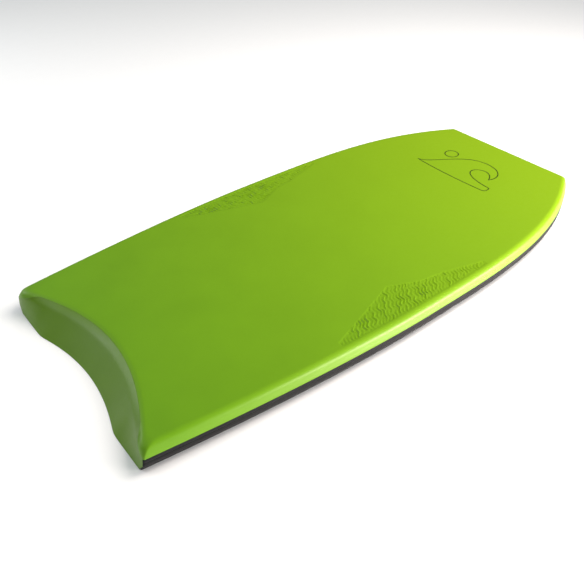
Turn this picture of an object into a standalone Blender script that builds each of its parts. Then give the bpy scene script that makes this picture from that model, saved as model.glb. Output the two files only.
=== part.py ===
"""Bodyboard: a foam core on a carbon stringer, laminated between a deck skin and a slick, edged with foam rails.

Metres, +X towards the nose, +Y to port (the rider's left), +Z up. The origin is on the surface that the
board lies on, under the middle of its length and width.
"""

from functools import lru_cache
import math

import bmesh
import bpy
from mathutils import Vector

# Template: the outline at its widest level, seen from above
LENGTH = 1.067
MAX_WIDTH = 0.5245
NOSE_WIDTH = 0.316
TAIL_WIDTH = 0.441
WIDE_POINT_X = -0.029
NOSE_FULLNESS = 3.42
TAIL_FULLNESS = 1.65
NOSE_CORNER_RADIUS = 0.014

# Side view
THICKNESS = 0.046
NOSE_LIFT = 0.003
LIFT_LENGTH = 0.427

# Crescent tail: its face leans forward from the slick up to the deck
TAIL_LEAN = 0.010
DECK_CRESCENT_DEPTH = 0.060
DECK_CRESCENT_WIDTH = 0.412
SLICK_CRESCENT_DEPTH = 0.024
SLICK_CRESCENT_WIDTH = 0.262

# Rail section: the deck skin's chine, two rail strips, then a tuck under to the slick
RAIL_BAND_TOP = 0.0277
RAIL_BAND_HEIGHT = 0.0137
CHINE_INSET = 0.0077
CHINE_ROUND = 0.006
TUCK_INSET = 0.006
STRIP_DEPTH = 0.008
RAIL_DEPTH = 0.026

# Sheets
DECK_SKIN = 0.004
TAIL_SKIN = 0.004
SLICK_SKIN = 0.0015
MESH_SHEET = 0.0008

# Stringer
STRINGER_DIAMETER = 0.0125
STRINGER_WALL = 0.0012
STRINGER_NOSE_MARGIN = 0.090
STRINGER_TAIL_MARGIN = 0.012
STRINGER_CLEARANCE = 0.0004
CAP_FLANGE = 0.006
CAP_SPIGOT = 0.012

# Clearances between glued pieces, and between the ends of pieces that butt together
GAP = 0.0003
END_GAP = 0.0005

# Facets
SIDE_STEPS = 20
ACROSS_STEPS = 12
TAIL_COLUMNS = 8
CORNER_STEPS = 4
CHINE_STEPS = 3
ROUND_SIDES = 20

# How far pieces run past the tail before they are trimmed, and how far the trimming solid reaches past them
OVERRUN = 0.010
CUTTER_MARGIN = 0.040

# Colour and roughness of each material
MATERIALS = {
    "deck_foam": ((0.20, 0.42, 0.0, 1.0), 0.42),
    "tail_foam": ((0.15, 0.33, 0.02, 1.0), 0.40),
    "rail_foam": ((0.012, 0.012, 0.014, 1.0), 0.45),
    "inner_foam": ((0.10, 0.10, 0.10, 1.0), 0.80),
    "slick_sheet": ((0.02, 0.02, 0.022, 1.0), 0.18),
    "core_foam": ((0.82, 0.82, 0.80, 1.0), 0.85),
    "polymer_mesh": ((0.55, 0.56, 0.55, 1.0), 0.60),
    "carbon_tube": ((0.02, 0.02, 0.02, 1.0), 0.30),
    "cap_plastic": ((0.05, 0.05, 0.05, 1.0), 0.50),
}


def clear_scene():
    for item in list(bpy.data.objects):
        bpy.data.objects.remove(item)


@lru_cache
def material(slot):
    colour, roughness = MATERIALS[slot]
    made = bpy.data.materials.new(slot)
    made.use_nodes = True
    shader = made.node_tree.nodes["Principled BSDF"]
    shader.inputs["Base Color"].default_value = colour
    shader.inputs["Roughness"].default_value = roughness
    shader.inputs["Metallic"].default_value = 0.0
    made.diffuse_color = colour
    return made


# ---- The board's surfaces, which every piece is measured from ----


def half_width(x):
    """The template's half width at x, and its slope there."""
    forward = max(0.0, (x - WIDE_POINT_X) / (LENGTH / 2 - WIDE_POINT_X))
    back = max(0.0, (WIDE_POINT_X - x) / (LENGTH / 2 + WIDE_POINT_X))
    nose_drop = (MAX_WIDTH - NOSE_WIDTH) / 2
    tail_drop = (MAX_WIDTH - TAIL_WIDTH) / 2
    width = MAX_WIDTH / 2 - nose_drop * forward**NOSE_FULLNESS - tail_drop * back**TAIL_FULLNESS
    nose_slope = nose_drop * NOSE_FULLNESS * forward ** (NOSE_FULLNESS - 1) / (LENGTH / 2 - WIDE_POINT_X)
    tail_slope = tail_drop * TAIL_FULLNESS * back ** (TAIL_FULLNESS - 1) / (LENGTH / 2 + WIDE_POINT_X)
    return width, tail_slope - nose_slope


def place(x, y, z):
    """A point of the board laid flat, bent up with the nose."""
    along = max(0.0, (x - LENGTH / 2 + LIFT_LENGTH) / LIFT_LENGTH)
    return Vector((x, y, z + NOSE_LIFT * along**2))


def crescent(y, depth, width):
    return depth * max(0.0, 1 - (2 * y / width) ** 2)


def tail_x(y, z):
    """The tail face: straight lines from the slick's crescent up to the deck's deeper one."""
    low = crescent(y, SLICK_CRESCENT_DEPTH, SLICK_CRESCENT_WIDTH)
    high = TAIL_LEAN + crescent(y, DECK_CRESCENT_DEPTH, DECK_CRESCENT_WIDTH)
    return -LENGTH / 2 + low + (high - low) * z / THICKNESS


def solve(rising, low, high):
    """Where a rising function crosses zero."""
    for _ in range(40):
        middle = (low + high) / 2
        if rising(middle) > 0:
            high = middle
        else:
            low = middle
    return (low + high) / 2


def side_point(base_x, inset):
    """A point on the port side of the template moved inwards, from the template's own point at base_x."""
    width, slope = half_width(base_x)
    length = math.hypot(1, slope)
    return base_x + inset * slope / length, width - inset / length


@lru_cache
def corner_base(inset):
    """base_x where the inset side meets the nose's corner arc, or its corner once the arc has shrunk away."""
    reach = max(inset, NOSE_CORNER_RADIUS)
    return solve(lambda x: side_point(x, reach)[0] - LENGTH / 2 + reach, 0.0, LENGTH / 2)


def tail_edge(inset, z):
    """How far out the tail face reaches at a height where the board's side is this far in."""

    def past_tail(x):
        point_x, point_y = side_point(x, inset)
        return point_x - tail_x(point_y, z)

    return side_point(solve(past_tail, -LENGTH, 0.0), inset)[1]


def side_station(fraction, inset):
    start = -LENGTH / 2 - OVERRUN
    return side_point(start + (corner_base(inset) - start) * fraction, inset)


def mirrored(points):
    return [Vector((p.x, -p.y, p.z)) for p in reversed(points)]


def side_points(inset, z):
    """Along the port side, from behind the tail to the nose corner."""
    return [place(*side_station(step / SIDE_STEPS, inset), z) for step in range(SIDE_STEPS + 1)]


def corner_turn(inset):
    """How far the outline turns round the nose's port corner."""
    return math.atan2(1, -half_width(corner_base(inset))[1])


def corner_arc(inset, z):
    """Round the nose's port corner, from the side to the straight front."""
    centre_x, centre_y = side_point(corner_base(inset), max(inset, NOSE_CORNER_RADIUS))
    radius = max(0.0, NOSE_CORNER_RADIUS - inset)
    arc = []
    for step in range(CORNER_STEPS + 1):
        angle = corner_turn(inset) * (1 - step / CORNER_STEPS)
        arc.append(place(centre_x + radius * math.cos(angle), centre_y + radius * math.sin(angle), z))
    return arc


def across_fractions():
    """From port, 1, to starboard, -1."""
    return [1 - 2 * column / ACROSS_STEPS for column in range(ACROSS_STEPS + 1)]


def front_points(inset, z):
    """Along the nose's straight front, between the two corner arcs."""
    end = corner_arc(inset, z)[-1]
    return [Vector((end.x, end.y * across, end.z)) for across in across_fractions()[1:-1]]


def rim(inset, z):
    """From the port side of the tail round the nose to the starboard side of the tail."""
    side = side_points(inset, z) + corner_arc(inset, z)[1:]
    return side + front_points(inset, z) + mirrored(side)


def field(inset, z):
    """Rows of points from behind the tail to the nose, each from port to starboard."""
    rows = []
    for edge in side_points(inset, z):
        rows.append([Vector((edge.x, edge.y * across, edge.z)) for across in across_fractions()])
    return rows


# ---- Sections, as (inset from the template, height) ----


def chine_path(depth):
    """Down the deck skin's surface, or `depth` under it, from the deck's flat to the rail band."""
    run = THICKNESS - RAIL_BAND_TOP
    lean = math.atan2(CHINE_INSET, run)
    top = THICKNESS - depth
    foot = RAIL_BAND_TOP + GAP

    def face_inset(z):
        return CHINE_INSET * (z - RAIL_BAND_TOP) / run + depth / math.cos(lean)

    centre_inset = face_inset(top) + CHINE_ROUND * math.tan((math.pi / 2 - lean) / 2)
    centre_height = top - CHINE_ROUND
    path = [(field_inset(), top)]
    for step in range(CHINE_STEPS + 1):
        angle = math.pi / 2 + (math.pi / 2 - lean) * step / CHINE_STEPS
        inset = centre_inset + CHINE_ROUND * math.cos(angle)
        path.append((inset, centre_height + CHINE_ROUND * math.sin(angle)))
    path.append((face_inset(foot), foot))
    return path


def field_inset():
    """Where the deck's flat starts: clear of the chine and of the nose's corner arc."""
    return max(NOSE_CORNER_RADIUS, RAIL_DEPTH)


def band_bottom():
    return RAIL_BAND_TOP - RAIL_BAND_HEIGHT


def strip_seam():
    """Where the upper rail strip meets the lower one."""
    return RAIL_BAND_TOP - RAIL_BAND_HEIGHT / 2


def over_slick():
    return SLICK_SKIN + GAP


def core_bottom():
    return over_slick() + MESH_SHEET + GAP


def core_top():
    return THICKNESS - DECK_SKIN - GAP - MESH_SHEET - GAP


def stringer_height():
    return (core_bottom() + core_top()) / 2


def edge_section():
    """The board's own side surface at the tail, from the slick up to the deck."""
    rail = [(TUCK_INSET, over_slick()), (0.0, band_bottom()), (0.0, strip_seam()), (0.0, RAIL_BAND_TOP)]
    chine = chine_path(0.0)
    return rail + chine[:0:-1]


# ---- Mesh builders ----


def finish_mesh(name, mesh, slot):
    """Merges coincident points, faces the surface outwards and puts the solid in the scene."""
    bmesh.ops.remove_doubles(mesh, verts=mesh.verts, dist=1e-6)
    bmesh.ops.recalc_face_normals(mesh, faces=mesh.faces)
    data = bpy.data.meshes.new(name)
    mesh.to_mesh(data)
    mesh.free()
    data.shade_smooth()
    data.set_sharp_from_angle(angle=math.radians(35))
    data.materials.append(material(slot))
    solid = bpy.data.objects.new(name, data)
    bpy.context.scene.collection.objects.link(solid)
    return solid


def as_verts(mesh, points):
    return [mesh.verts.new(point) for point in points]


def add_strip(mesh, one, other):
    """Triangles between two rows with the same number of points, all split the same way."""
    for i in range(len(one) - 1):
        mesh.faces.new((one[i], one[i + 1], other[i + 1]))
        mesh.faces.new((one[i], other[i + 1], other[i]))


def add_grid(mesh, rows):
    for one, other in zip(rows, rows[1:]):
        add_strip(mesh, one, other)


def skin_side(mesh, path):
    """One side of a sheet: a field inside path[0], and rings outwards through the rest of the path.

    Returns its edge across the tail and its edge round the sides and nose."""
    rows = [as_verts(mesh, row) for row in field(*path[0])]
    rings = [as_verts(mesh, rim(inset, z)) for inset, z in path]
    add_grid(mesh, rows)
    add_grid(mesh, rings)
    port = [ring[0] for ring in reversed(rings)]
    starboard = [ring[-1] for ring in rings]
    return port + rows[0] + starboard, rings[-1]


def sheet(name, outer, inner, slot):
    """A closed sheet between two sides that follow the whole board."""
    mesh = bmesh.new()
    outer_tail, outer_edge = skin_side(mesh, outer)
    inner_tail, inner_edge = skin_side(mesh, inner)
    add_strip(mesh, outer_tail, inner_tail)
    add_strip(mesh, outer_edge, inner_edge)
    return finish_mesh(name, mesh, slot)


def swept(name, lines, slot):
    """A solid from lines of equal length, one through each corner of its section, with closed ends."""
    mesh = bmesh.new()
    corners = [as_verts(mesh, line) for line in lines]
    add_grid(mesh, corners + corners[:1])
    mesh.faces.new([line[0] for line in corners])
    mesh.faces.new([line[-1] for line in corners])
    return finish_mesh(name, mesh, slot)


def slab_between(name, back, front, slot):
    """A closed solid between two grids of points of the same shape."""
    mesh = bmesh.new()
    grids = [[as_verts(mesh, row) for row in rows] for rows in (back, front)]
    for rows in grids:
        add_grid(mesh, rows)
    edges = []
    for rows in grids:
        port = [row[0] for row in rows]
        starboard = [row[-1] for row in rows]
        edges.append((rows[0], rows[-1], port, starboard))
    for one, other in zip(*edges):
        add_strip(mesh, one, other)
    return finish_mesh(name, mesh, slot)


def turned(name, profile, slot):
    """A solid of revolution about the stringer's axis, from (x, radius) points."""
    mesh = bmesh.new()
    axis = Vector((0, 0, stringer_height()))
    verts = as_verts(mesh, [axis + Vector((x, 0, radius)) for x, radius in profile])
    edges = [mesh.edges.new(pair) for pair in zip(verts, verts[1:] + verts[:1])]
    whole_turn = {"cent": axis, "axis": (1, 0, 0), "angle": math.tau, "steps": ROUND_SIDES}
    bmesh.ops.spin(mesh, geom=verts + edges, **whole_turn)
    loose = [edge for edge in mesh.edges if not edge.link_faces]
    bmesh.ops.delete(mesh, geom=loose, context="EDGES")
    return finish_mesh(name, mesh, slot)


def cut(solid, cutter):
    cutter.hide_render = True
    cutter.display_type = "WIRE"
    difference = solid.modifiers.new(cutter.name, "BOOLEAN")
    difference.operation = "DIFFERENCE"
    difference.object = cutter


# ---- The tail, and what trims the other pieces to it ----


def tail_grid(behind, section):
    """The tail face moved forwards, in rows from the bottom to the deck, each from port to starboard."""
    rows = []
    inner = TAIL_WIDTH / 2 - RAIL_DEPTH
    stations = [inner * (1 - column / TAIL_COLUMNS) for column in range(2 * TAIL_COLUMNS + 1)]
    for inset, z in section:
        edge = tail_edge(inset, z)
        rows.append([Vector((tail_x(y, z) + behind, y, z)) for y in (edge, *stations, -edge)])
    return rows


def extended(line, distance):
    """The line carried straight on past both ends."""
    first = line[0] + (line[0] - line[1]).normalized() * distance
    last = line[-1] + (line[-1] - line[-2]).normalized() * distance
    return [first, *line, last]


def tail_cutter(name, behind):
    """Everything behind the tail face, moved forwards by `behind`."""
    section = [(TUCK_INSET, 0.0)] + edge_section()
    rows = [extended(row, CUTTER_MARGIN) for row in tail_grid(behind, section)]
    columns = [extended(list(column), CUTTER_MARGIN) for column in zip(*rows)]
    front = [list(row) for row in zip(*columns)]
    back_x = -LENGTH / 2 - CUTTER_MARGIN
    back = [[Vector((back_x, point.y, point.z)) for point in row] for row in front]
    return slab_between(name, back, front, "core_foam")


def tail_skin():
    """The skin glued over the tail face, as wide as the board's side at each height."""
    face = tail_grid(0.0, edge_section())
    back = tail_grid(TAIL_SKIN, edge_section())
    slab_between("tail_skin", face, back, "tail_foam")


# ---- Pieces ----


def deck_skin():
    """The deck, wrapped over the chine down to the rail band."""
    return [sheet("deck_skin", chine_path(0.0), chine_path(DECK_SKIN), "deck_foam")]


def flat_sheet(name, low, high, slot):
    """A sheet or plank between the inner rails."""
    inset = RAIL_DEPTH + GAP
    return sheet(name, [(inset, high)], [(inset, low)], slot)


def core():
    """The foam plank, drilled from the tail for the stringer."""
    plank = flat_sheet("core_plank", core_bottom(), core_top(), "core_foam")
    radius = STRINGER_DIAMETER / 2 + STRINGER_CLEARANCE
    start = -LENGTH / 2 - CUTTER_MARGIN
    end = stringer_ends()[1] + CAP_FLANGE + STRINGER_CLEARANCE
    bore = turned("stringer_bore", [(start, 0), (start, radius), (end, radius), (end, 0)], "core_foam")
    cut(plank, bore)
    return [plank]


def mesh_sheets():
    low = flat_sheet("slick_mesh", over_slick(), over_slick() + MESH_SHEET, "polymer_mesh")
    high = flat_sheet("deck_mesh", core_top() + GAP, core_top() + GAP + MESH_SHEET, "polymer_mesh")
    return [low, high]


def stringer_ends():
    """Where the tube starts and ends, between its two caps."""
    tail_face = tail_x(0.0, stringer_height()) + TAIL_SKIN
    return tail_face + STRINGER_TAIL_MARGIN + CAP_FLANGE, LENGTH / 2 - STRINGER_NOSE_MARGIN


def stringer():
    """A carbon tube with a plastic cap pushed into each end."""
    outer = STRINGER_DIAMETER / 2
    inner = outer - STRINGER_WALL
    start, end = stringer_ends()
    turned("stringer_tube", [(start, inner), (start, outer), (end, outer), (end, inner)], "carbon_tube")
    spigot = inner - STRINGER_CLEARANCE
    for name, face, inward in (("stringer_cap_tail", start, 1), ("stringer_cap_nose", end, -1)):
        rim_end = face - inward * GAP
        flange = [(face - inward * CAP_FLANGE, 0), (face - inward * CAP_FLANGE, outer), (rim_end, outer)]
        plug = [(rim_end, spigot), (face + inward * CAP_SPIGOT, spigot), (face + inward * CAP_SPIGOT, 0)]
        turned(name, flange + plug, "cap_plastic")


def rail_set(name, section, slot):
    """The same rail section down both sides and across the nose, as three pieces mitred at the corners."""
    middle = CORNER_STEPS // 2
    mitre = corner_turn(0.0) / 2
    mitre_gap = END_GAP * Vector((-math.sin(mitre), math.cos(mitre), 0))
    port = []
    nose = []
    for inset, z in section:
        arc = corner_arc(inset, z)
        port.append(side_points(inset, z) + arc[1:middle] + [arc[middle] + mitre_gap])
        nose.append(arc[middle:] + front_points(inset, z) + mirrored(arc[middle:]))
    starboard = [mirrored(line) for line in port]
    swept(name + "_nose", nose, slot)
    return [swept(name + "_port", port, slot), swept(name + "_starboard", starboard, slot)]


def strip_section(face):
    """A strip of even depth behind the given face."""
    return face + [(inset + STRIP_DEPTH, z) for inset, z in reversed(face)]


def rail_strips():
    """Two foam strips, one over the other; the lower one tucks under to meet the slick."""
    upper = [(0.0, RAIL_BAND_TOP), (0.0, strip_seam() + GAP / 2)]
    lower = [(0.0, strip_seam() - GAP / 2), (0.0, band_bottom()), (TUCK_INSET, over_slick())]
    made = rail_set("upper_rail", strip_section(upper), "rail_foam")
    return made + rail_set("lower_rail", strip_section(lower), "rail_foam")


def inner_rails():
    """The rail behind the strips: it fills the edge between the slick and the underside of the deck skin."""
    under_skin = chine_path(DECK_SKIN + GAP)
    behind_strips = STRIP_DEPTH + GAP
    section = [
        (RAIL_DEPTH, over_slick()),
        (TUCK_INSET + behind_strips, over_slick()),
        (behind_strips, band_bottom()),
        (behind_strips, RAIL_BAND_TOP + GAP),
        *under_skin[:0:-1],
        (RAIL_DEPTH, under_skin[0][1]),
    ]
    return rail_set("inner_rail", section, "inner_foam")


def slick_skin():
    """The hard bottom sheet, out to the tuck and back to the tail face."""
    edge = field_inset()
    outer = [(edge, SLICK_SKIN), (TUCK_INSET, SLICK_SKIN)]
    inner = [(edge, 0.0), (TUCK_INSET, 0.0)]
    slick = sheet("slick_skin", outer, inner, "slick_sheet")
    cut(slick, tail_cutter("slick_trim", 0.0))


def build():
    clear_scene()
    trimmed = core() + mesh_sheets() + deck_skin() + inner_rails() + rail_strips()
    trim = tail_cutter("tail_trim", TAIL_SKIN + END_GAP)
    for solid in trimmed:
        cut(solid, trim)
    stringer()
    slick_skin()
    tail_skin()


build()
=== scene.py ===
"""The looks of a bodyboard: skins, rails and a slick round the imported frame, their materials and the studio.

In metres, with +X towards the nose, +Y to port and +Z up. The visible pieces are grids of points read from
one surface, envelope(), which gives the board's outside at any place round its rim and at any level.
"""

from functools import lru_cache
import math

import bmesh
import bpy
from mathutils import Matrix, Vector, noise


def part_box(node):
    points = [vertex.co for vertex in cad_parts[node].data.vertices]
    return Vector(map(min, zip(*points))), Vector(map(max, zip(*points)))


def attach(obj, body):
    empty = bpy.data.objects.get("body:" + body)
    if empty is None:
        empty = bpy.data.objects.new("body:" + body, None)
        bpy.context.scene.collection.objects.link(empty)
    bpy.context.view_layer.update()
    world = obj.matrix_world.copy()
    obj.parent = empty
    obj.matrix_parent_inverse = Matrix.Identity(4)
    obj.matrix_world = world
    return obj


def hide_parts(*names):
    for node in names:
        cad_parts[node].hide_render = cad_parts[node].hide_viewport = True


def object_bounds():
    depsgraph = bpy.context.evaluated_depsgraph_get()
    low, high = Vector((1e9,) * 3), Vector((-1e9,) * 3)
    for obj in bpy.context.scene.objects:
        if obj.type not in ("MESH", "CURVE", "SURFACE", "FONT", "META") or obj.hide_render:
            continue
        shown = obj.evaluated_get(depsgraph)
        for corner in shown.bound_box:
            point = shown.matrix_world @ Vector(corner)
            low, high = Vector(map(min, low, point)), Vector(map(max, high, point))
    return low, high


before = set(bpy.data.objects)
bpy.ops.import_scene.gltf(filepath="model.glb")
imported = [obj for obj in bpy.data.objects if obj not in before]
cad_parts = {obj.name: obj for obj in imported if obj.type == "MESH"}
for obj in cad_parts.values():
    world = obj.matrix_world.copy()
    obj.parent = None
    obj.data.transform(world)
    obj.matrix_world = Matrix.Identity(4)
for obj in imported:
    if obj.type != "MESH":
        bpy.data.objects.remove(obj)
CAD_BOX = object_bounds()

# ---- Sizes ----

MM = 0.001

# Template, from the frame where its boxes hold it
LENGTH = CAD_BOX[1].x - CAD_BOX[0].x
MAX_WIDTH = CAD_BOX[1].y - CAD_BOX[0].y
HALF = LENGTH / 2
NOSE_WIDTH = 316 * MM
TAIL_WIDTH = 441 * MM
WIDE_POINT_X = -29 * MM
NOSE_FULLNESS = 3.42
TAIL_FULLNESS = 1.65

# Side view
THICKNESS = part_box("tail_skin")[1].z
NOSE_LIFT = 3 * MM
LIFT_LENGTH = 427 * MM

# Crescent tail
TAIL_LEAN = 6 * MM
DECK_CRESCENT_DEPTH = 64 * MM
DECK_CRESCENT_WIDTH = 412 * MM
SLICK_CRESCENT_DEPTH = 24 * MM
SLICK_CRESCENT_WIDTH = 262 * MM
PEG_SOFTNESS = 0.10

# Rail section
BAND_TOP = 27.7 * MM
BAND_BOTTOM = 14 * MM
BAND_SEAM = (BAND_TOP + BAND_BOTTOM) / 2
CHINE_INSET = 6.3 * MM
FRONT_CHINE_INSET = 2.5 * MM
TUCK_INSET = 8.5 * MM
SLICK_TOP = 1.5 * MM
RAIL_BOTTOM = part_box("lower_rail_port")[0].z

# Sheets
DECK_SKIN = 4 * MM
TAIL_SKIN = 4 * MM
STRIP_DEPTH = 8 * MM
STRIP_DEPTH_AT_SLICK = 5.5 * MM

# Roundings
SHOULDER_ROUND = 11 * MM
LIP_REACH = 12 * MM
NOSE_CORNER = 14 * MM
NOSE_CORNER_SHRINK = 0.6
TAIL_CORNER = 3.5 * MM
TAIL_CORNER_TOP = 13 * MM
STRIP_EDGE = 1.1 * MM
CUT_EDGE = 0.6 * MM
SLICK_EDGE = 0.4 * MM
JOINT = 0.1 * MM
SHARP_ANGLE = 35
MERGE_DISTANCE = MM / 10000

# The tail skin: where it starts round each tail corner, how its top edge climbs to the lip, how much of that
# climb is up the wall, how thin its ends are and how high its foot is
WRAP = 0.85
CLIMB_LENGTH = 26 * MM
LIP_SEAM_SHARE = 0.6
WALL_SHARE_OF_CLIMB = 0.35
FEATHER = 1.2 * MM
TAIL_FOOT = 0.3 * MM

# Columns round half of the board. The flat grids need as many at the front as along the tail, with half of
# each corner arc counted in
FRONT_COLUMNS = 34
NOSE_ARC_COLUMNS = 8
SIDE_COLUMNS = 150
TAIL_ARC_COLUMNS = 16
TAIL_COLUMNS = 30
TAIL_CROWDING = 1.6
TAIL_SKIN_WRAP_COLUMNS = 4
RAIL_WRAP_COLUMNS = 8

# Rows up each surface
CHINE_ROWS = 5
SHOULDER_ROWS = 8
DECK_ROWS_PER_INNER_ROW = 3
TAIL_SKIN_ROWS = 14
TUCK_ROWS = 5

# Steps that the curves' solvers take
INSET_STEPS = 12
CORNER_STEPS = 30


def lerp(a, b, share):
    return a + (b - a) * share


def clamp(value):
    return min(1.0, max(0.0, value))


def smooth(value):
    value = clamp(value)
    return value * value * (3 - 2 * value)


# ---- The board's outside ----


def half_width(x):
    """The template's half width at x, and its slope there."""
    forward = max(0.0, (x - WIDE_POINT_X) / (HALF - WIDE_POINT_X))
    back = max(0.0, (WIDE_POINT_X - x) / (HALF + WIDE_POINT_X))
    nose_drop = (MAX_WIDTH - NOSE_WIDTH) / 2
    tail_drop = (MAX_WIDTH - TAIL_WIDTH) / 2
    width = MAX_WIDTH / 2 - nose_drop * forward**NOSE_FULLNESS - tail_drop * back**TAIL_FULLNESS
    nose_slope = nose_drop * NOSE_FULLNESS * forward ** (NOSE_FULLNESS - 1) / (HALF - WIDE_POINT_X)
    tail_slope = tail_drop * TAIL_FULLNESS * back ** (TAIL_FULLNESS - 1) / (HALF + WIDE_POINT_X)
    return width, tail_slope - nose_slope


def side_point(base_x, inset):
    """A point on the port side of the template moved inwards, from the template's own point at base_x."""
    width, slope = half_width(base_x)
    length = math.hypot(1, slope)
    return base_x + inset * slope / length, width - inset / length


def base_under(x, inset):
    """base_x of the inset side's point at x."""
    base = x
    for _ in range(INSET_STEPS):
        base += x - side_point(base, inset)[0]
    return base


def side_angle(base_x):
    """The direction in which the port side faces."""
    return math.atan2(1, -half_width(base_x)[1])


def lift(x):
    return NOSE_LIFT * max(0.0, (x - HALF + LIFT_LENGTH) / LIFT_LENGTH) ** 2


def crescent(y, depth, width):
    """A parabola that runs softly into the flat pegs beside it."""
    hollow = 1 - (2 * y / width) ** 2
    return depth * (hollow + math.hypot(hollow, PEG_SOFTNESS)) / 2


def rounded_wall(start, run, radius, level):
    """(distance in, height) up a leaning wall and round its top edge, which starts at the level WALL_TOP."""
    lean = math.atan(run)
    if level <= BAND_TOP:
        return start + run * level, level
    if level <= WALL_TOP:
        top = THICKNESS - radius * (1 - math.sin(lean))
        height = lerp(BAND_TOP, top, (level - BAND_TOP) / (WALL_TOP - BAND_TOP))
        return start + run * height, height
    share = (level - WALL_TOP) / (THICKNESS - WALL_TOP)
    angle = lerp(math.pi - lean, math.pi / 2, share)
    centre = start + run * (THICKNESS - radius) + radius / math.cos(lean)
    return centre + radius * math.cos(angle), THICKNESS - radius + radius * math.sin(angle)


def edge_section(level, chine_inset):
    """(inset from the template, height) of the side or the nose at a level."""
    if level > BAND_TOP:
        run = chine_inset / (THICKNESS - BAND_TOP)
        return rounded_wall(-run * BAND_TOP, run, SHOULDER_ROUND, level)
    tuck = clamp((BAND_BOTTOM - level) / (BAND_BOTTOM - RAIL_BOTTOM))
    return TUCK_INSET * tuck, level


def tail_section(y, level):
    """(x, height) of the tail face at a level."""
    low = crescent(y, SLICK_CRESCENT_DEPTH, SLICK_CRESCENT_WIDTH) - HALF
    high = crescent(y, DECK_CRESCENT_DEPTH, DECK_CRESCENT_WIDTH) + TAIL_LEAN - HALF
    run = (high - low) / THICKNESS
    radius = LIP_REACH / math.tan((math.pi / 2 - math.atan(run)) / 2)
    return rounded_wall(low, run, radius, level)


SIDE_LEAN = math.atan2(CHINE_INSET, THICKNESS - BAND_TOP)
WALL_TOP = THICKNESS - SHOULDER_ROUND * (1 - math.sin(SIDE_LEAN))
LIP_SEAM = lerp(WALL_TOP, THICKNESS, LIP_SEAM_SHARE)


@lru_cache(maxsize=None)
def nose_corner(level, depth):
    """Centre, radius, the side's base_x and the angle turned, of the arc round the nose's port corner."""
    inset = edge_section(level, CHINE_INSET)[0]
    front = edge_section(level, FRONT_CHINE_INSET)[0]
    outer = NOSE_CORNER - NOSE_CORNER_SHRINK * inset
    x = HALF - front - outer
    base = base_under(x, inset + outer)
    return x, side_point(base, inset + outer)[1], max(outer - depth, MM), base, side_angle(base)


@lru_cache(maxsize=None)
def tail_corner(level, depth):
    """The port tail corner's centre, radius, side's base_x, two angles, and y where the tail starts."""
    inset = edge_section(level, CHINE_INSET)[0]
    above_band = (level - BAND_TOP) / (THICKNESS - BAND_TOP)
    outer = lerp(TAIL_CORNER, TAIL_CORNER_TOP, smooth(above_band))
    step = MM / 10

    def centre(y):
        slope = (tail_section(y + step, level)[0] - tail_section(y - step, level)[0]) / (2 * step)
        length = math.hypot(1, slope)
        return tail_section(y, level)[0] + outer / length, y - outer * slope / length, slope

    low, high = TAIL_WIDTH / 4, TAIL_WIDTH / 2
    for _ in range(CORNER_STEPS):
        y = (low + high) / 2
        x, centre_y, slope = centre(y)
        base = base_under(x, inset + outer)
        if centre_y > side_point(base, inset + outer)[1]:
            high = y
        else:
            low = y
    return x, centre_y, max(outer - depth, MM), base, side_angle(base), math.pi - math.atan(slope), y


def part_columns(part, steps):
    """(part, share) of each column of a part but the last. Along the tail they crowd towards the corner."""
    power = TAIL_CROWDING if part == "tail" else 1.0
    return [(part, (step / steps) ** power) for step in range(steps)]


def half_columns():
    """The columns from the middle of the nose round the port side to the middle of the tail."""
    parts = (
        ("front", FRONT_COLUMNS),
        ("nose", NOSE_ARC_COLUMNS),
        ("side", SIDE_COLUMNS),
        ("corner", TAIL_ARC_COLUMNS),
        ("tail", TAIL_COLUMNS),
    )
    columns = [column for part, steps in parts for column in part_columns(part, steps)]
    return columns + [("tail", 1.0)]


def rim_point(column, level, depth=0.0):
    """(x, y, height) of the port half's outside at a column and level, moved in by depth."""
    part, share = column
    inset, height = edge_section(level, CHINE_INSET)
    front_height = edge_section(level, FRONT_CHINE_INSET)[1]
    if part in ("front", "nose"):
        x, y, radius, _, turn = nose_corner(level, depth)
        if part == "front":
            return x + radius, y * share, front_height
        angle = turn * share
        return x + radius * math.cos(angle), y + radius * math.sin(angle), lerp(front_height, height, share)
    x, y, radius, base, side_turn, tail_turn, tail_y = tail_corner(level, depth)
    if part == "side":
        start = nose_corner(level, depth)[3]
        return (*side_point(lerp(start, base, share), inset + depth), height)
    if part == "corner":
        angle = lerp(side_turn, tail_turn, share)
        tail_height = tail_section(tail_y, level)[1]
        blended = lerp(height, tail_height, smooth(share))
        return x + radius * math.cos(angle), y + radius * math.sin(angle), blended
    y = tail_y * (1 - share)
    x, height = tail_section(y, level)
    return x + depth, y, height


def bent(x, y, z):
    """A point of the board laid flat, bent up with the nose."""
    return Vector((x, y, z + lift(x)))


def envelope(column, level, depth=0.0):
    return bent(*rim_point(column, level, depth))


def tail_share(column):
    """0 at the sides and nose, rising past the wrap of the tail skin to 1 along the tail."""
    part, share = column
    if part not in ("corner", "tail"):
        return 0.0
    *_, side_turn, tail_turn, tail_y = tail_corner(BAND_TOP, 0.0)
    arc = TAIL_CORNER * (tail_turn - side_turn)
    run = arc * (share - WRAP) if part == "corner" else arc * (1 - WRAP) + tail_y * share
    return smooth(run / (arc * (1 - WRAP) + CLIMB_LENGTH))


@lru_cache(maxsize=None)
def seam_level(column):
    """Where the deck skin's edge runs: over the rail band, and up on the lip of the tail."""
    climb = tail_share(column)
    if climb < WALL_SHARE_OF_CLIMB:
        return lerp(BAND_TOP, WALL_TOP, climb / WALL_SHARE_OF_CLIMB)
    return lerp(WALL_TOP, LIP_SEAM, (climb - WALL_SHARE_OF_CLIMB) / (1 - WALL_SHARE_OF_CLIMB))


# ---- Mesh builders ----


def mirrored(point):
    return Vector((point.x, -point.y, point.z))


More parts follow.
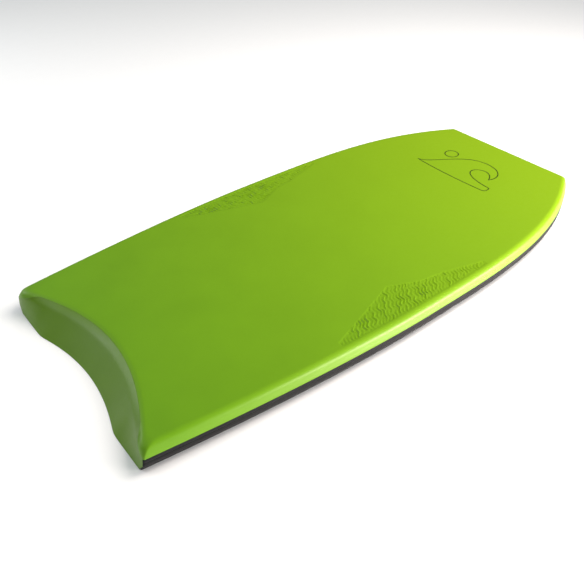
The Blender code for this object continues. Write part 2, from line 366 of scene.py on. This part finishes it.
def whole_ring(make):
    """Port points from the nose to the tail, then starboard points back to the nose, as one closed ring."""
    port = [make(column) for column in half_columns()]
    return port + [mirrored(point) for point in port[-2:0:-1]]


def new_piece(name, mesh, material):
    bmesh.ops.remove_doubles(mesh, verts=mesh.verts, dist=MERGE_DISTANCE)
    bmesh.ops.recalc_face_normals(mesh, faces=mesh.faces)
    data = bpy.data.meshes.new(name)
    mesh.to_mesh(data)
    mesh.free()
    data.shade_smooth()
    data.set_sharp_from_angle(angle=math.radians(SHARP_ANGLE))
    data.materials.append(material)
    piece = bpy.data.objects.new(name, data)
    bpy.context.scene.collection.objects.link(piece)
    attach(piece, "root")
    return piece


def as_verts(mesh, points):
    return [mesh.verts.new(point) for point in points]


def add_grid(mesh, rows, closed=False):
    """Quads between neighbouring rows of verts. Closed rows join their last vert to their first."""
    faces = []
    for one, other in zip(rows, rows[1:]):
        count = len(one)
        for i in range(count if closed else count - 1):
            j = (i + 1) % count
            faces.append(mesh.faces.new((one[i], one[j], other[j], other[i])))
    return faces


def fill_ring(mesh, ring):
    """A grid of quads inside a ring of verts, with its corners in the middle of the four corner arcs."""
    arc_half = NOSE_ARC_COLUMNS // 2
    half = FRONT_COLUMNS + arc_half
    long = NOSE_ARC_COLUMNS - arc_half + SIDE_COLUMNS + TAIL_ARC_COLUMNS // 2
    turned = ring[-half:] + ring[:-half]
    nose = turned[: 2 * half + 1]
    port = turned[2 * half : 2 * half + long + 1]
    tail = turned[2 * half + long : 4 * half + long + 1][::-1]
    starboard = (turned[4 * half + long :] + turned[:1])[::-1]
    level = ring[0].co.z - lift(ring[0].co.x)
    rows = [nose]
    for i in range(1, long):
        v = i / long
        row = [starboard[i]]
        for j in range(1, 2 * half):
            u = j / (2 * half)
            ends = lerp(starboard[i].co, port[i].co, u)
            sides = lerp(nose[j].co, tail[j].co, v)
            one = lerp(nose[0].co, nose[-1].co, u)
            other = lerp(tail[0].co, tail[-1].co, u)
            point = ends + sides - lerp(one, other, v)
            row.append(mesh.verts.new(bent(point.x, point.y, level)))
        rows.append(row + [port[i]])
    rows.append(tail)
    return add_grid(mesh, rows)


def closed_sheet(name, rings, material, finish_top=None):
    """A closed solid from rings of points, filled inside the first ring and inside the last one."""
    mesh = bmesh.new()
    rows = [as_verts(mesh, ring) for ring in rings]
    add_grid(mesh, rows, closed=True)
    top = fill_ring(mesh, rows[0])
    fill_ring(mesh, rows[-1])
    if finish_top:
        finish_top(mesh, top)
    return new_piece(name, mesh, material)


def rounded_edge(level, direction, radius, steps=3):
    """(level, depth) points round an edge, from the cut face out to the side surface."""
    made = []
    for step in range(steps + 1):
        angle = math.pi / 2 * step / steps
        depth = radius * (1 - math.sin(angle))
        made.append((level + direction * radius * (1 - math.cos(angle)), depth))
    return made


# ---- Deck skin ----

# Strokes of the elbow grips: how far apart they are, their lean, their rows' length and their section
GRIP_PITCH = 7.6 * MM
GRIP_LEAN = 0.59
GRIP_ROW = 30 * MM
GROOVE_DEPTH = 1.3 * MM
GROOVE_WIDTH = 1.7 * MM
RIDGE_HEIGHT = 0.7 * MM
RIDGE_WIDTH = 1.5 * MM
RIDGE_OFFSET = 3.1 * MM

# Their waves: a regular one, with a phase that turns along the board, and an irregular one
GRIP_WAVE = 1.5 * MM
GRIP_WAVELENGTH = 19 * MM
GRIP_WAVE_TURN = 130
GRIP_WANDER = 4.0 * MM
GRIP_WANDER_SCALE = (45, 55)

# How they differ: the shares of a row over which a stroke starts and stops, and the faintest's strength
STROKE_START = 0.16
STROKE_STOP = 0.26
FAINTEST_STROKE = 0.62
ROW_SHIFT = 3.0

# The patch that they fill: how far it is sunk, and how the sinking and the strokes fade in from its edge
GRIP_RECESS = 0.4 * MM
RECESS_FADE = 3 * MM
STROKE_FADE = 5 * MM
GRIP_FROM_RIM = 15.5 * MM
# The inner edges of the starboard patch, in mm: a broad aft part with the apex, and a forward tip
GRIP_LEAF = [
    [(-192, -229), (-33, -176), (34, -206), (60, -262), (-192, -262)],
    [(-20, -196), (66, -208), (154, -234), (154, -262), (-20, -262)],
]
GRIP_CUTS = 6
GRIP_CUTS_REACH = 9 * MM

DECK_WAVE = 0.25 * MM
DECK_WAVE_SCALE = (5, 6)
DECK_WAVE_FADE = 40 * MM


def leaf_reach(x, y):
    """How far inside the leaf a point on the starboard side lies. It is negative outside."""
    reaches = []
    for part in GRIP_LEAF:
        sides = []
        for (ax, ay), (bx, by) in zip(part, part[1:] + part[:1]):
            across_edge = (by - ay) * (x / MM - ax) - (bx - ax) * (y / MM - ay)
            sides.append(across_edge / math.hypot(bx - ax, by - ay))
        reaches.append(min(sides) * MM)
    return min(max(reaches), half_width(x)[0] - GRIP_FROM_RIM + y)


def grip_relief(x, y):
    """How far the pressed grip pattern moves the deck at a point: leaning, wavy strokes in broken rows."""
    y = -abs(y)
    reach = leaf_reach(x, y)
    if reach <= 0:
        return 0.0
    wander = GRIP_WAVE * math.sin(math.tau * y / GRIP_WAVELENGTH + x * GRIP_WAVE_TURN)
    wander += GRIP_WANDER * noise.noise(Vector((x * GRIP_WANDER_SCALE[0], y * GRIP_WANDER_SCALE[1], 0.7)))
    along = x - GRIP_LEAN * y + wander
    stroke = math.floor(along / GRIP_PITCH + 0.5)
    off = along - stroke * GRIP_PITCH
    row_at = y / GRIP_ROW + ROW_SHIFT * noise.cell(Vector((stroke, 0.5, 0.5)))
    row = row_at % 1.0
    chance = noise.cell(Vector((stroke + 0.5, math.floor(row_at) + 0.5, 3.5)))
    strength = lerp(FAINTEST_STROKE, 1.0, chance) * smooth(reach / STROKE_FADE)
    strength *= smooth(row / STROKE_START) * smooth((1 - row) / STROKE_STOP)
    groove = GROOVE_DEPTH * math.exp(-((off / GROOVE_WIDTH) ** 2))
    ridge = RIDGE_HEIGHT * math.exp(-(((off - RIDGE_OFFSET) / RIDGE_WIDTH) ** 2))
    return -GRIP_RECESS * smooth(reach / RECESS_FADE) - strength * (groove - ridge)


def deck_wave(x, y):
    """The slow unevenness of a laminated deck, always downwards, fading out at the rim."""
    rim = half_width(x)[0] - CHINE_INSET - SHOULDER_ROUND - abs(y)
    from_rim = min(rim, x - tail_section(y, THICKNESS)[0], HALF - 2 * SHOULDER_ROUND - x)
    slow = noise.noise(Vector((x * DECK_WAVE_SCALE[0], y * DECK_WAVE_SCALE[1], 0.3)))
    return -DECK_WAVE * (0.5 + 0.5 * slow) * smooth(from_rim / DECK_WAVE_FADE)


def press_grips(mesh, faces):
    """Refines the deck where the grips are and presses them into it."""

    def near_leaf(face):
        centre = face.calc_center_median()
        return leaf_reach(centre.x, -abs(centre.y)) > -GRIP_CUTS_REACH

    edges = {edge for face in faces if near_leaf(face) for edge in face.edges}
    bmesh.ops.subdivide_edges(mesh, edges=list(edges), cuts=GRIP_CUTS, use_grid_fill=True)
    for vert in mesh.verts:
        x, y, z = vert.co
        on_flat = abs(z - THICKNESS - lift(x)) < MM / 1000
        if on_flat:
            vert.co.z += grip_relief(x, y) + deck_wave(x, y)


def deck_levels():
    """(share of the way from the seam to the deck's flat, edge rounding there) of the deck skin's rings."""
    start = BAND_TOP + JOINT
    span = THICKNESS - start
    foot = [((level - start) / span, depth) for level, depth in rounded_edge(start, 1, CUT_EDGE)]
    chine = [lerp(start + MM, WALL_TOP, step / CHINE_ROWS) for step in range(1, CHINE_ROWS + 1)]
    shoulder = [lerp(WALL_TOP, THICKNESS, step / SHOULDER_ROWS) for step in range(1, SHOULDER_ROWS + 1)]
    return foot + [((level - start) / span, 0.0) for level in chine + shoulder]


def deck_outer(column, share, edge):
    """The skin's outside, with the rounding of its cut edge fading out towards the tail."""
    level = lerp(seam_level(column) + JOINT, THICKNESS, share)
    return envelope(column, level, edge * (1 - tail_share(column)))


def deck_inner(column, share):
    """Under the skin: moved in from the chine, and down from the flat."""
    tail = tail_share(column)
    level = lerp(seam_level(column) + JOINT, THICKNESS, share)
    turn = clamp((level - WALL_TOP) / (THICKNESS - WALL_TOP)) * math.pi / 2
    depth = DECK_SKIN * lerp(math.cos(turn), 1.0, tail)
    x, y, height = rim_point(column, level, depth)
    flat = THICKNESS - DECK_SKIN
    height = lerp(height - DECK_SKIN * math.sin(turn), flat, tail)
    return bent(x, y, min(height, flat))


def deck_skin(material):
    levels = deck_levels()
    outer = [whole_ring(lambda c, s=share, e=edge: deck_outer(c, s, e)) for share, edge in levels]
    inner_levels = levels[::DECK_ROWS_PER_INNER_ROW] + levels[-1:]
    inner = [whole_ring(lambda c, s=share: deck_inner(c, s)) for share, _ in inner_levels]
    piece = closed_sheet("deck_skin_surface", outer[::-1] + inner, material, press_grips)
    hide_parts("deck_skin")


# ---- Tail skin ----


def tail_columns():
    """The columns that the tail skin covers, on the port half."""
    steps = TAIL_SKIN_WRAP_COLUMNS
    wrap = [("corner", lerp(WRAP, 1.0, step / steps)) for step in range(steps)]
    return wrap + part_columns("tail", TAIL_COLUMNS) + [("tail", 1.0)]


def tail_skin(material):
    """The skin over the tail face, round both tail corners and up on the lip."""
    shares = [step / TAIL_SKIN_ROWS for step in range(TAIL_SKIN_ROWS + 1)]
    top_limit = THICKNESS - DECK_SKIN - JOINT

    def outer(column, share):
        return envelope(column, lerp(TAIL_FOOT, seam_level(column), share))

    def inner(column, share):
        level = lerp(TAIL_FOOT, seam_level(column), share)
        part, along = column
        covered = smooth((along - WRAP) / (1 - WRAP)) if part == "corner" else 1.0
        x, y, height = rim_point(column, level, lerp(FEATHER, TAIL_SKIN, covered))
        return bent(x, y, min(height, top_limit))

    mesh = bmesh.new()
    grids = []
    for make in (outer, inner):
        rows = []
        for share in shares:
            port = [make(column, share) for column in tail_columns()]
            rows.append(as_verts(mesh, port + [mirrored(point) for point in port[-2::-1]]))
        add_grid(mesh, rows)
        grids.append(rows)
    front, back = grids
    for one, other in ((front[0], back[0]), (front[-1], back[-1])):
        add_grid(mesh, [one, other])
    for end in (0, -1):
        add_grid(mesh, [[row[end] for row in front], [row[end] for row in back]])
    piece = new_piece("tail_skin_surface", mesh, material)
    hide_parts("tail_skin")


# ---- Rails ----

# The side strips' ends, as shares of the corner arcs: halfway round the nose's, and short of the tail skin
NOSE_CUT = 0.5
NOSE_CUT_GAP = 0.012
TAIL_CUT_GAP = 0.004
# The soft turn from the band to the tuck: (height above the band's bottom, depth)
BAND_FOOT = [(1.6 * MM, 0.0), (0.6 * MM, 0.12 * MM), (0.0, 0.35 * MM)]


def strip_sections():
    """(level, depth) round each strip's visible side, from its top to its bottom."""
    top = BAND_TOP - JOINT
    upper = rounded_edge(top, -1, STRIP_EDGE)
    upper += rounded_edge(BAND_SEAM + JOINT / 2, 1, STRIP_EDGE)[::-1]
    lower = rounded_edge(BAND_SEAM - JOINT / 2, -1, STRIP_EDGE)
    lower += [(BAND_BOTTOM + above, depth) for above, depth in BAND_FOOT]
    lower += [(lerp(BAND_BOTTOM, RAIL_BOTTOM, step / TUCK_ROWS), 0.0) for step in range(1, TUCK_ROWS)]
    lower += rounded_edge(RAIL_BOTTOM, 1, CUT_EDGE)[::-1]
    return {"upper_rail": upper, "lower_rail": lower}


def strip_depth(column, level):
    """The strips run thin where they wrap on to the tail corner, and are cut back over the slick."""
    part, share = column
    depth = STRIP_DEPTH_AT_SLICK if level < BAND_BOTTOM else STRIP_DEPTH
    return lerp(depth, FEATHER, smooth(share / WRAP)) if part == "corner" else depth


def side_rail_columns():
    half_arc = NOSE_ARC_COLUMNS // 2
    arc = [("nose", NOSE_CUT + NOSE_CUT_GAP)] + part_columns("nose", NOSE_ARC_COLUMNS)[half_arc + 1 :]
    wrap = [("corner", WRAP * step / RAIL_WRAP_COLUMNS) for step in range(RAIL_WRAP_COLUMNS)]
    return arc + part_columns("side", SIDE_COLUMNS) + wrap + [("corner", WRAP - TAIL_CUT_GAP)]


def nose_rail_columns():
    arc = part_columns("nose", NOSE_ARC_COLUMNS)[: NOSE_ARC_COLUMNS // 2]
    return part_columns("front", FRONT_COLUMNS) + arc + [("nose", NOSE_CUT)]


def strip(name, columns, section, side, material):
    """One strip, from a row of points along the board for each point of its section."""
    mesh = bmesh.new()
    lines = []
    for level, depth in section:
        lines.append([envelope(column, level, depth) for column in columns])
    for level in (section[-1][0], section[0][0]):
        lines.append([envelope(column, level, strip_depth(column, level)) for column in columns])
    if side == "both":
        lines = [[mirrored(point) for point in line[:0:-1]] + line for line in lines]
    if side == "starboard":
        lines = [[mirrored(point) for point in line] for line in lines]
    rows = [as_verts(mesh, line) for line in lines]
    add_grid(mesh, rows + rows[:1])
    mesh.faces.new([row[0] for row in rows])
    mesh.faces.new([row[-1] for row in rows])
    piece = new_piece(name + "_surface", mesh, material)
    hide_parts(name)


def rails(material):
    for kind, section in strip_sections().items():
        strip(kind + "_port", side_rail_columns(), section, "port", material)
        strip(kind + "_starboard", side_rail_columns(), section, "starboard", material)
        strip(kind + "_nose", nose_rail_columns(), section, "both", material)


# ---- Slick ----

SLICK_RIM = 3 * MM


def behind_tail_skin(column):
    """How far the slick stops short of the outside, where the tail skin laps over its edge."""
    part, share = column
    if part == "tail":
        return TAIL_SKIN + JOINT
    return (TAIL_SKIN + JOINT) * smooth(2 * share - 1) if part == "corner" else 0.0


def slick(material):
    """The hard bottom sheet, with softly broken edges."""
    upper = rounded_edge(SLICK_TOP, -1, SLICK_EDGE)
    lower = rounded_edge(0.0, 1, SLICK_EDGE)[::-1]
    section = [(SLICK_TOP, SLICK_RIM)] + upper + lower + [(0.0, SLICK_RIM)]
    rings = []
    for level, depth in section:
        rings.append(whole_ring(lambda c, l=level, d=depth: envelope(c, l, behind_tail_skin(c) + d)))
    piece = closed_sheet("slick_surface", rings, material)
    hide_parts("slick_skin")


# ---- Printed line graphic on the nose ----

PRINT_CENTRE = (395 * MM, 12 * MM)
PRINT_LINE = 2.0 * MM
PRINT_HEIGHT = 0.08 * MM
PRINT_FOOT = 0.2
# The closed outline of a breaking wave as cubic curves, in mm: right is starboard, up is the nose
WAVE_OUTLINE = [
    (-92, -46), (-58, -40), (-40, 46), (20, 50), (60, 52), (84, 26), (70, -4),
    (64, 16), (48, 26), (32, 18), (8, 4), (20, -26), (92, -30),
    (96, -36), (96, -46), (88, -48), (40, -52), (-40, -52), (-92, -46),
]
# The sun beside it: its centre and radius
SUN = (-58, 28, 15)


def cubic(points, steps=16):
    """Points along joined cubic curves, each from its last point by two handles to the next."""
    made = [Vector((*points[0], 0))]
    for i in range(0, len(points) - 3, 3):
        a, b, c, d = (Vector((*point, 0)) for point in points[i : i + 4])
        for step in range(1, steps + 1):
            t = step / steps
            made.append(a * (1 - t) ** 3 + 3 * b * t * (1 - t) ** 2 + 3 * c * t**2 * (1 - t) + d * t**3)
    return made


def line_normal(points, i):
    """The unit normal of a closed line at its point i."""
    along = (points[(i + 1) % len(points)] - points[i - 1]).normalized()
    return Vector((-along.y, along.x, 0))


def circle(x, y, radius, steps=48):
    turns = [math.tau * step / steps for step in range(steps)]
    return [Vector((x + radius * math.cos(turn), y + radius * math.sin(turn), 0)) for turn in turns]


def nose_print(material):
    """Thin printed lines on the deck, raised by the thickness of the ink."""
    mesh = bmesh.new()
    corners = ((-1, PRINT_FOOT), (-1, 1), (1, 1), (1, PRINT_FOOT))
    for outline in (cubic(WAVE_OUTLINE)[:-1], circle(*SUN)):
        rows = []
        for side, height in corners:
            row = []
            for i, point in enumerate(outline):
                edge = point * MM + line_normal(outline, i) * side * PRINT_LINE / 2
                x, y = PRINT_CENTRE[0] + edge.y, PRINT_CENTRE[1] - edge.x
                place = bent(x, y, THICKNESS + height * PRINT_HEIGHT)
                place.z += deck_wave(x, y)
                row.append(place)
            rows.append(as_verts(mesh, row))
        add_grid(mesh, rows + rows[:1], closed=True)
    new_piece("nose_print", mesh, material)


# ---- Materials ----

# The skins' foam: a light and a dark shade of its mottling, and the lighter, yellower tone painted towards the
# nose as painted light from the warm key light
LIME = ((0.112, 0.280, 0.0, 1), (0.100, 0.256, 0.0, 1), (0.180, 0.312, 0.0, 1))
# The tail skin: the same lime foam painted darker, as painted shade for the tail face that turns away from the
# key light
SHADE_DARKENED_LIME = ((0.100, 0.215, 0.0, 1), (0.088, 0.192, 0.0, 1), (0.100, 0.215, 0.0, 1))
DECK_GLOSS = {"Specular_IOR_Level": 0.5, "Specular_Tint": (1.0, 0.95, 0.8, 1)}
TAIL_GLOSS = {"Specular_IOR_Level": 0.4}
RIM_ROUGHNESS = 0.46
FLAT_ROUGHNESS = 0.68
TAIL_ROUGHNESS = 0.40
# How far up the rim still faces where it starts to lose its polish
RIM_TILT = 0.86


class Nodes:
    """A short way to write a material's nodes."""

    def __init__(self, name):
        self.material = bpy.data.materials.new(name)
        self.material.use_nodes = True
        self.tree = self.material.node_tree
        self.shader = self.tree.nodes["Principled BSDF"]
        self.coordinates = self.add("ShaderNodeTexCoord").outputs
        self.place = self.coordinates["Object"]

    def add(self, kind, inputs=None, **settings):
        node = self.tree.nodes.new(kind)
        for key, value in settings.items():
            setattr(node, key, value)
        for key, value in (inputs or {}).items():
            self.put(node.inputs[key], value)
        return node

    def put(self, socket, value):
        if isinstance(value, bpy.types.NodeSocket):
            self.tree.links.new(value, socket)
        else:
            socket.default_value = value

    def stretched(self, scale):
        return self.add("ShaderNodeMapping", {"Vector": self.place, "Scale": scale}).outputs["Vector"]

    def noise(self, scale, detail=3.0, vector=None):
        inputs = {"Vector": vector or self.place, "Scale": scale, "Detail": detail}
        return self.add("ShaderNodeTexNoise", inputs).outputs["Fac"]

    def cells(self, scale, output="Distance", feature="F1"):
        inputs = {"Vector": self.place, "Scale": scale}
        return self.add("ShaderNodeTexVoronoi", inputs, feature=feature).outputs[output]

    def ranged(self, value, low, high, from_low=0.0, from_high=1.0):
        inputs = {"Value": value, "To Min": low, "To Max": high}
        inputs |= {"From Min": from_low, "From Max": from_high}
        return self.add("ShaderNodeMapRange", inputs).outputs["Result"]

    def maths(self, operation, one, other):
        return self.add("ShaderNodeMath", {0: one, 1: other}, operation=operation).outputs[0]

    def mixed(self, factor, one, other):
        node = self.add("ShaderNodeMix", data_type="RGBA")
        self.put(node.inputs["Factor"], factor)
        self.put(node.inputs[6], one)
        self.put(node.inputs[7], other)
        return node.outputs[2]

    def bump(self, height, distance, strength, normal=None):
        inputs = {"Height": height, "Distance": distance, "Strength": strength}
        if normal is not None:
            inputs["Normal"] = normal
        return self.add("ShaderNodeBump", inputs).outputs["Normal"]

    def finish(self, colour, roughness, normal, **fixed):
        self.put(self.shader.inputs["Base Color"], colour)
        self.put(self.shader.inputs["Roughness"], roughness)
        self.put(self.shader.inputs["Normal"], normal)
        for key, value in fixed.items():
            self.shader.inputs[key.replace("_", " ")].default_value = value
        return self.material


def foam_skin(name, light, dark, nose_key_light_tone, rim_roughness, flat_roughness, **fixed):
    """Heat-sealed closed-cell foam: fine pebble grain over faint dimples, softly mottled.

    Its colour is painted lighter and yellower towards the nose, as painted light from the warm key light
    there, and it is polished on the rim, where it was stretched over the rail.
    """
    nodes = Nodes(name)
    mottle = nodes.noise(14.0, 4.0)
    grain = nodes.noise(1500.0, 2.0)
    pebbles = nodes.cells(620.0)
    dimples = nodes.noise(120.0, 3.0)
    tone = nodes.maths("ADD", nodes.maths("MULTIPLY", mottle, 0.75), nodes.maths("MULTIPLY", grain, 0.25))
    colour = nodes.mixed(nodes.ranged(tone, 0.0, 1.0, 0.3, 0.7), dark, light)
    along = nodes.add("ShaderNodeSeparateXYZ", {0: nodes.place}).outputs["X"]
    # Painted light: the colour shades to a lighter, yellower tone towards the nose, where the key light falls
    colour = nodes.mixed(nodes.ranged(along, 0.0, 1.0, -HALF, HALF), colour, nose_key_light_tone)
    facing_up = nodes.add("ShaderNodeSeparateXYZ", {0: nodes.coordinates["Normal"]}).outputs["Z"]
    rough = nodes.ranged(facing_up, rim_roughness, flat_roughness, RIM_TILT, 1.0)
    patchy = nodes.ranged(nodes.maths("ADD", mottle, dimples), -0.04, 0.04, 0.7, 1.3)
    rough = nodes.maths("ADD", rough, patchy)
    normal = nodes.bump(dimples, 0.25 * MM, 0.35)
    normal = nodes.bump(pebbles, 0.10 * MM, 0.35, normal)
    normal = nodes.bump(grain, 0.06 * MM, 0.5, normal)
    return nodes.finish(colour, rough, normal, **fixed)


def rail_foam():
    """Black cut foam: open pores, and faint scuffs along the rail."""
    nodes = Nodes("black rail foam")
    pores = nodes.cells(1100.0)
    grain = nodes.noise(420.0, 4.0)
    scuffs = nodes.noise(60.0, 4.0, nodes.stretched((0.12, 1.0, 6.0)))
    wear = nodes.ranged(scuffs, 0.0, 1.0, 0.55, 0.78)
    colour = nodes.mixed(wear, (0.006, 0.006, 0.007, 1), (0.022, 0.022, 0.024, 1))
    rough = nodes.ranged(grain, 0.52, 0.68, 0.3, 0.7)
    normal = nodes.bump(pores, 0.12 * MM, 0.5)
    normal = nodes.bump(grain, 0.2 * MM, 0.4, normal)
    return nodes.finish(colour, rough, normal, Specular_IOR_Level=0.25)


def slick_sheet():
    """Glossy extruded sheet: long drawing lines and a faint print of the net behind it."""
    nodes = Nodes("slick sheet")
    lines = nodes.noise(160.0, 3.0, nodes.stretched((0.03, 1.0, 1.0)))
    cloud = nodes.noise(9.0, 3.0)
    net = nodes.cells(210.0)
    shade = nodes.ranged(cloud, 0, 1, 0.3, 0.7)
    colour = nodes.mixed(shade, (0.012, 0.012, 0.014, 1), (0.022, 0.022, 0.025, 1))
    rough = nodes.ranged(nodes.maths("ADD", lines, cloud), 0.16, 0.30, 0.7, 1.3)
    normal = nodes.bump(lines, 0.10 * MM, 0.4)
    normal = nodes.bump(net, 0.05 * MM, 0.3, normal)
    return nodes.finish(colour, rough, normal)


def bead_foam():
    """Moulded bead foam: packed beads a few millimetres across, each a little different."""
    nodes = Nodes("bead foam")
    rim = nodes.cells(260.0, feature="DISTANCE_TO_EDGE")
    bead = nodes.cells(260.0, output="Color")
    shade = nodes.mixed(bead, (0.80, 0.80, 0.77, 1), (0.90, 0.90, 0.88, 1))
    colour = nodes.mixed(nodes.ranged(rim, 0, 1, 0.0, 0.12), (0.62, 0.62, 0.59, 1), shade)
    normal = nodes.bump(nodes.ranged(rim, 0, 1, 0.0, 0.25), 0.4 * MM, 0.6)
    return nodes.finish(colour, nodes.ranged(rim, 0.9, 0.75, 0.0, 0.3), normal)


def inner_foam():
    nodes = Nodes("inner rail foam")
    pores = nodes.cells(700.0)
    grain = nodes.noise(90.0, 4.0)
    colour = nodes.mixed(nodes.ranged(grain, 0, 1, 0.3, 0.7), (0.07, 0.07, 0.075, 1), (0.13, 0.13, 0.13, 1))
    normal = nodes.bump(pores, 0.25 * MM, 0.6)
    return nodes.finish(colour, nodes.ranged(pores, 0.7, 0.9), normal)


def net_sheet():
    """Two sets of crossing strands on a thin film."""
    nodes = Nodes("polymer net")
    strands = []
    for direction in ("X", "Y"):
        inputs = {"Vector": nodes.place, "Scale": 60.0}
        wave = nodes.add("ShaderNodeTexWave", inputs, bands_direction=direction)
        strands.append(nodes.ranged(wave.outputs["Fac"], 0, 1, 0.75, 0.95))
    net = nodes.maths("MAXIMUM", *strands)
    colour = nodes.mixed(net, (0.30, 0.31, 0.31, 1), (0.62, 0.63, 0.60, 1))
    return nodes.finish(colour, nodes.ranged(net, 0.65, 0.4), nodes.bump(net, 0.3 * MM, 0.7))


def carbon_tube():
    """Twill-woven carbon under clear resin."""
    nodes = Nodes("carbon tube")
    turned = nodes.add("ShaderNodeMapping", {"Vector": nodes.place, "Rotation": (0.6, 0.0, 0.8)})
    inputs = {"Vector": turned.outputs["Vector"], "Scale": 420.0}
    tows = nodes.add("ShaderNodeTexChecker", inputs).outputs["Fac"]
    fibres = nodes.noise(900.0, 2.0, nodes.stretched((0.1, 1.0, 1.0)))
    colour = nodes.mixed(tows, (0.012, 0.012, 0.013, 1), (0.04, 0.04, 0.042, 1))
    rough = nodes.ranged(fibres, 0.25, 0.4)
    return nodes.finish(colour, rough, nodes.bump(tows, 0.1 * MM, 0.4), Coat_Weight=0.8, Coat_Roughness=0.12)


def moulded_plastic():
    nodes = Nodes("moulded plastic")
    grain = nodes.noise(700.0, 3.0)
    shade = nodes.ranged(grain, 0, 1, 0.4, 0.6)
    colour = nodes.mixed(shade, (0.030, 0.030, 0.032, 1), (0.045, 0.045, 0.048, 1))
    return nodes.finish(colour, nodes.ranged(grain, 0.42, 0.55), nodes.bump(grain, 0.1 * MM, 0.4))


def printed_ink():
    nodes = Nodes("printed ink")
    grain = nodes.noise(1500.0, 2.0)
    worn = nodes.ranged(nodes.noise(260.0, 4.0), 0, 1, 0.6, 0.75)
    colour = nodes.mixed(worn, (0.010, 0.020, 0.008, 1), (0.035, 0.075, 0.008, 1))
    return nodes.finish(colour, nodes.ranged(grain, 0.4, 0.55), nodes.bump(grain, 0.04 * MM, 0.4))


def pale_floor():
    nodes = Nodes("studio floor")
    paper = nodes.noise(40.0, 3.0)
    colour = nodes.mixed(paper, (0.93, 0.93, 0.935, 1), (0.95, 0.95, 0.955, 1))
    return nodes.finish(colour, nodes.ranged(paper, 0.75, 0.85), nodes.bump(paper, 0.05 * MM, 0.2))


def dress_hidden_nodes():
    """Materials for the CAD pieces inside the skins."""
    nets = net_sheet()
    plastic = moulded_plastic()
    inner = inner_foam()
    finishes = {
        "core_plank": bead_foam(),
        "stringer_tube": carbon_tube(),
        "deck_mesh": nets,
        "slick_mesh": nets,
        "stringer_cap_tail": plastic,
        "stringer_cap_nose": plastic,
        "inner_rail_port": inner,
        "inner_rail_starboard": inner,
        "inner_rail_nose": inner,
    }
    for node, material in finishes.items():
        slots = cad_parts[node].data.materials
        slots.clear()
        slots.append(material)


# ---- Studio ----

CAMERA_PLACE = Vector((-0.7103, -0.7679, 0.7544))
CAMERA_YAW = 0.6724
CAMERA_PITCH = -0.6829
CAMERA_ROLL = -0.0079
CAMERA_LENS = 40.81
SENSOR = 36.0
FLOOR_SIZE = 14.0
FLOOR_DROP = 0.2 * MM
WARM = (1.0, 0.92, 0.86)
COOL = (0.97, 1.0, 1.0)
SKY = (0.95, 0.99, 1.0, 1.0)
SKY_STRENGTH = 0.53


def make_camera():
    """The camera looks along +Y turned by the yaw towards +X, and down by the pitch."""
    data = bpy.data.cameras.new("camera")
    data.lens = CAMERA_LENS
    data.sensor_width = SENSOR
    data.clip_start = 0.01
    data.clip_end = 50.0
    camera = bpy.data.objects.new("camera", data)
    turn = Matrix.Rotation(-CAMERA_YAW, 4, "Z")
    tip = Matrix.Rotation(math.pi / 2 + CAMERA_PITCH, 4, "X")
    roll = Matrix.Rotation(CAMERA_ROLL, 4, "Z")
    camera.matrix_world = Matrix.Translation(CAMERA_PLACE) @ turn @ tip @ roll
    bpy.context.scene.collection.objects.link(camera)
    bpy.context.scene.camera = camera


def make_floor():
    mesh = bmesh.new()
    bmesh.ops.create_grid(mesh, x_segments=2, y_segments=2, size=FLOOR_SIZE / 2)
    data = bpy.data.meshes.new("studio_floor")
    mesh.to_mesh(data)
    mesh.free()
    data.materials.append(pale_floor())
    floor = bpy.data.objects.new("studio_floor", data)
    floor.location.z = -FLOOR_DROP
    bpy.context.scene.collection.objects.link(floor)


def softbox(name, azimuth, elevation, distance, size, power, colour, mirrored=True):
    """An area light that faces the board, seen in glossy surfaces if mirrored.

    Azimuth is from +X towards +Y. Angles are in degrees, and power is in watts.
    """
    data = bpy.data.lights.new(name, "AREA")
    data.shape = "RECTANGLE"
    data.size, data.size_y = size
    data.energy = power
    data.color = colour
    a, e = math.radians(azimuth), math.radians(elevation)
    away = Vector((math.cos(a) * math.cos(e), math.sin(a) * math.cos(e), math.sin(e)))
    light = bpy.data.objects.new(name, data)
    light.location = away * distance + Vector((0, 0, THICKNESS))
    light.rotation_euler = away.to_track_quat("Z", "Y").to_euler()
    light.visible_glossy = mirrored
    bpy.context.scene.collection.objects.link(light)


def make_lights():
    softbox("key", -26, 57, distance=1.5, size=(1.1, 1.1), power=32.0, colour=WARM, mirrored=False)
    softbox("low strip", -61, 4, distance=1.7, size=(1.1, 0.24), power=58.0, colour=WARM)
    softbox("rim", 130, 22, distance=2.2, size=(1.4, 0.5), power=12.0, colour=COOL)
    world = bpy.data.worlds.new("studio")
    bpy.context.scene.world = world
    world.use_nodes = True
    background = world.node_tree.nodes["Background"]
    background.inputs["Color"].default_value = SKY
    background.inputs["Strength"].default_value = SKY_STRENGTH
    world.cycles_visibility.glossy = False


def main():
    bpy.context.scene.view_settings.view_transform = "Standard"
    deck_foam = foam_skin("lime deck foam", *LIME, RIM_ROUGHNESS, FLAT_ROUGHNESS, **DECK_GLOSS)
    # The tail skin's foam is the deck lime painted darker, as painted shade on the tail face
    shade_darkened_foam = foam_skin("tail lime foam, painted shade", *SHADE_DARKENED_LIME, TAIL_ROUGHNESS, TAIL_ROUGHNESS, **TAIL_GLOSS)
    make_camera()
    make_floor()
    make_lights()
    deck_skin(deck_foam)
    tail_skin(shade_darkened_foam)
    rails(rail_foam())
    slick(slick_sheet())
    nose_print(printed_ink())
    dress_hidden_nodes()


main()
